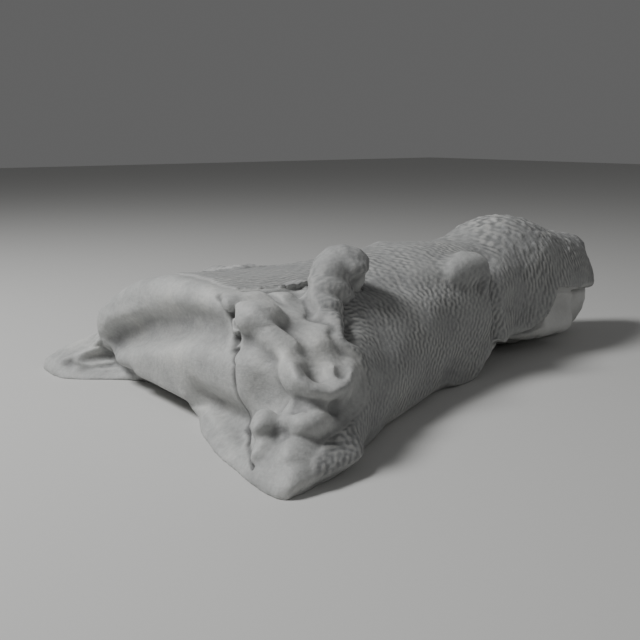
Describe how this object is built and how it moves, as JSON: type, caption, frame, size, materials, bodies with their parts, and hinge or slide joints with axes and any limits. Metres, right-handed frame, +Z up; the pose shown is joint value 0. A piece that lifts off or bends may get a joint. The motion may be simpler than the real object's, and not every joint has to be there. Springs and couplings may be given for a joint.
{
  "type": "fossil crocodilian skull",
  "caption": "Life-size fossil skull of a deep-snouted crocodilian without its lower jaw, lying on its jaw joints and snout tip, with rippled bone and a smooth rear face.",
  "frame": {"origin": "on the floor, below the middle of the skull's bounding box", "axes": "+X from the back of the skull to the snout tip, +Y to the animal's left, +Z up"},
  "size_m": [0.4532, 0.3256, 0.111],
  "materials": {
    "textured_bone": "finely rippled dull grey bone",
    "smooth_bone": "smooth satin grey bone"
  },
  "bodies": {
    "root": {"premaxilla": "textured_bone", "snout_core": "smooth_bone", "maxilla_right": "textured_bone", "maxilla_left": "textured_bone", "skull_table": "textured_bone", "cheek_right": "textured_bone", "cheek_left": "textured_bone", "occipital": "smooth_bone", "quadrate_right": "smooth_bone", "quadrate_left": "smooth_bone", "eye_boss_right": "textured_bone", "eye_boss_left": "textured_bone"}
  },
  "joints": []
}
